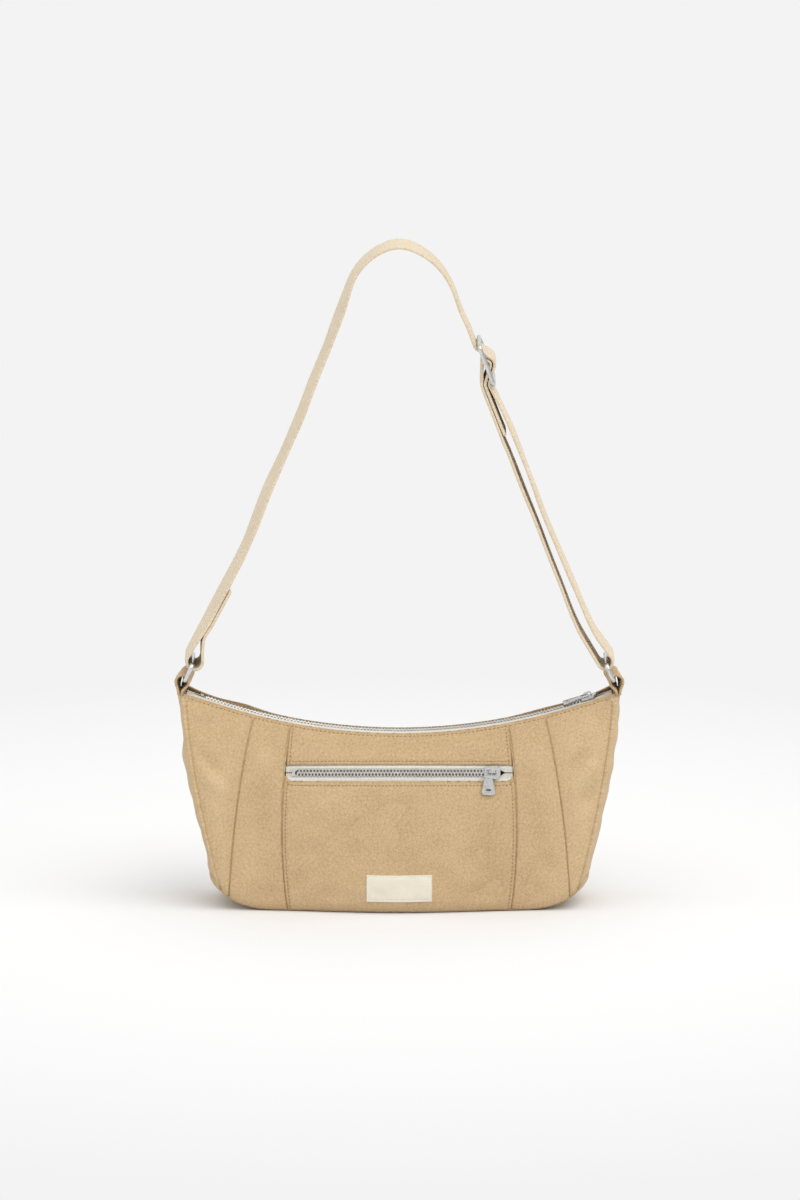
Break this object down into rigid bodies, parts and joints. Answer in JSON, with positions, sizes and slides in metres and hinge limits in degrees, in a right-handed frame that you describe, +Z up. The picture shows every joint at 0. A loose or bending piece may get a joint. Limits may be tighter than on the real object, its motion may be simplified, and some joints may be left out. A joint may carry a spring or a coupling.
{
  "type": "trapeze shoulder bag",
  "caption": "Canvas shoulder bag wider at the top than at the base, with a curved metal top zip, a zipped front pocket, side strips and an adjustable webbing strap on wire rings.",
  "frame": {"origin": "middle of the bag's footprint on the surface that it stands on", "axes": "+X to the right as the front is seen, -Y out of the front with the pocket, +Z up"},
  "size_m": [0.3062, 0.0826, 0.461],
  "materials": {
    "canvas": "sand-coloured brushed cotton twill",
    "lining": "plain cotton lining",
    "tape": "off-white herringbone zip tape",
    "zip_metal": "bright nickel-plated teeth",
    "slider_metal": "polished nickel plate",
    "webbing": "light sand cotton webbing",
    "wire_metal": "polished nickel-plated wire",
    "label_cloth": "cream cotton label, bare"
  },
  "bodies": {
    "bag": {"front_centre_top": "canvas", "front_centre_pocket": "canvas", "front_inner_left": "canvas", "front_inner_right": "canvas", "front_outer_left": "canvas", "front_outer_right": "canvas", "back_centre": "canvas", "back_inner_left": "canvas", "back_inner_right": "canvas", "back_outer_left": "canvas", "back_outer_right": "canvas", "side_strip_left": "canvas", "side_strip_right": "canvas", "base_panel": "canvas", "lining_front": "lining", "lining_back": "lining", "lining_strip": "lining", "pocket_bag": "lining", "label": "label_cloth", "top_tape_front": "tape", "top_tape_back": "tape", "top_teeth_front": "zip_metal", "top_teeth_back": "zip_metal", "top_zip_stops": "zip_metal", "pocket_tape_upper": "tape", "pocket_tape_lower": "tape", "pocket_teeth_upper": "zip_metal", "pocket_teeth_lower": "zip_metal", "pocket_zip_stops": "zip_metal", "loop_left": "canvas", "loop_right": "canvas", "strap_turn_left": "webbing", "strap_turn_right": "webbing"},
    "top_slider": {"top_slider": "slider_metal"},
    "top_pull": {"top_pull": "slider_metal"},
    "pocket_slider": {"pocket_slider": "slider_metal"},
    "pocket_pull": {"pocket_pull": "slider_metal"},
    "ring_left": {"ring_left": "wire_metal"},
    "ring_right": {"ring_right": "wire_metal"},
    "strap": {"strap_left_end": "webbing", "strap_arch": "webbing", "strap_outer_run": "webbing", "strap_inner_run": "webbing"},
    "adjuster": {"strap_weave": "webbing", "strap_sewn_end": "webbing", "adjuster_frame": "wire_metal", "adjuster_bar": "wire_metal"}
  },
  "joints": [
    {"name": "top_slider_run", "type": "hinge", "parent": "bag", "child": "top_slider", "pos_m": [0, 0, 0.515], "axis": [0, 1, 0], "range_deg": [0, 38], "deforming": ["top_teeth_front", "top_teeth_back", "top_tape_front", "top_tape_back"]},
    {"name": "top_pull_turn", "type": "hinge", "parent": "top_slider", "child": "top_pull", "pos_m": [0.1297, 0, 0.14545], "axis": [0, 1, 0], "range_deg": [0, 140]},
    {"name": "pocket_slider_run", "type": "slide", "parent": "bag", "child": "pocket_slider", "axis": [-1, 0, 0], "range_m": [0, 0.129], "deforming": ["pocket_teeth_upper", "pocket_teeth_lower", "pocket_tape_upper", "pocket_tape_lower"]},
    {"name": "pocket_pull_turn", "type": "hinge", "parent": "pocket_slider", "child": "pocket_pull", "pos_m": [0.0614, -0.02259, 0.09578], "axis": [0, -0.9239, 0.3827], "range_deg": [-90, 30]},
    {"name": "ring_left_turn", "type": "hinge", "parent": "bag", "child": "ring_left", "pos_m": [-0.1472, 0, 0.1592], "axis": [0, 1, 0], "range_deg": [-8, 8]},
    {"name": "ring_right_turn", "type": "hinge", "parent": "bag", "child": "ring_right", "pos_m": [0.1472, 0, 0.1592], "axis": [0, 1, 0], "range_deg": [-8, 8]},
    {"name": "strap_fold", "type": "hinge", "parent": "bag", "child": "strap", "pos_m": [0, 0, 0.193], "axis": [1, 0, 0], "range_deg": [-75, 75], "deforming": ["strap_turn_left", "strap_turn_right"]},
    {"name": "adjuster_slide", "type": "slide", "parent": "strap", "child": "adjuster", "axis": [0.3502, 0, -0.9367], "range_m": [0, 0.11], "deforming": ["strap_outer_run", "strap_inner_run", "strap_arch"]}
  ]
}
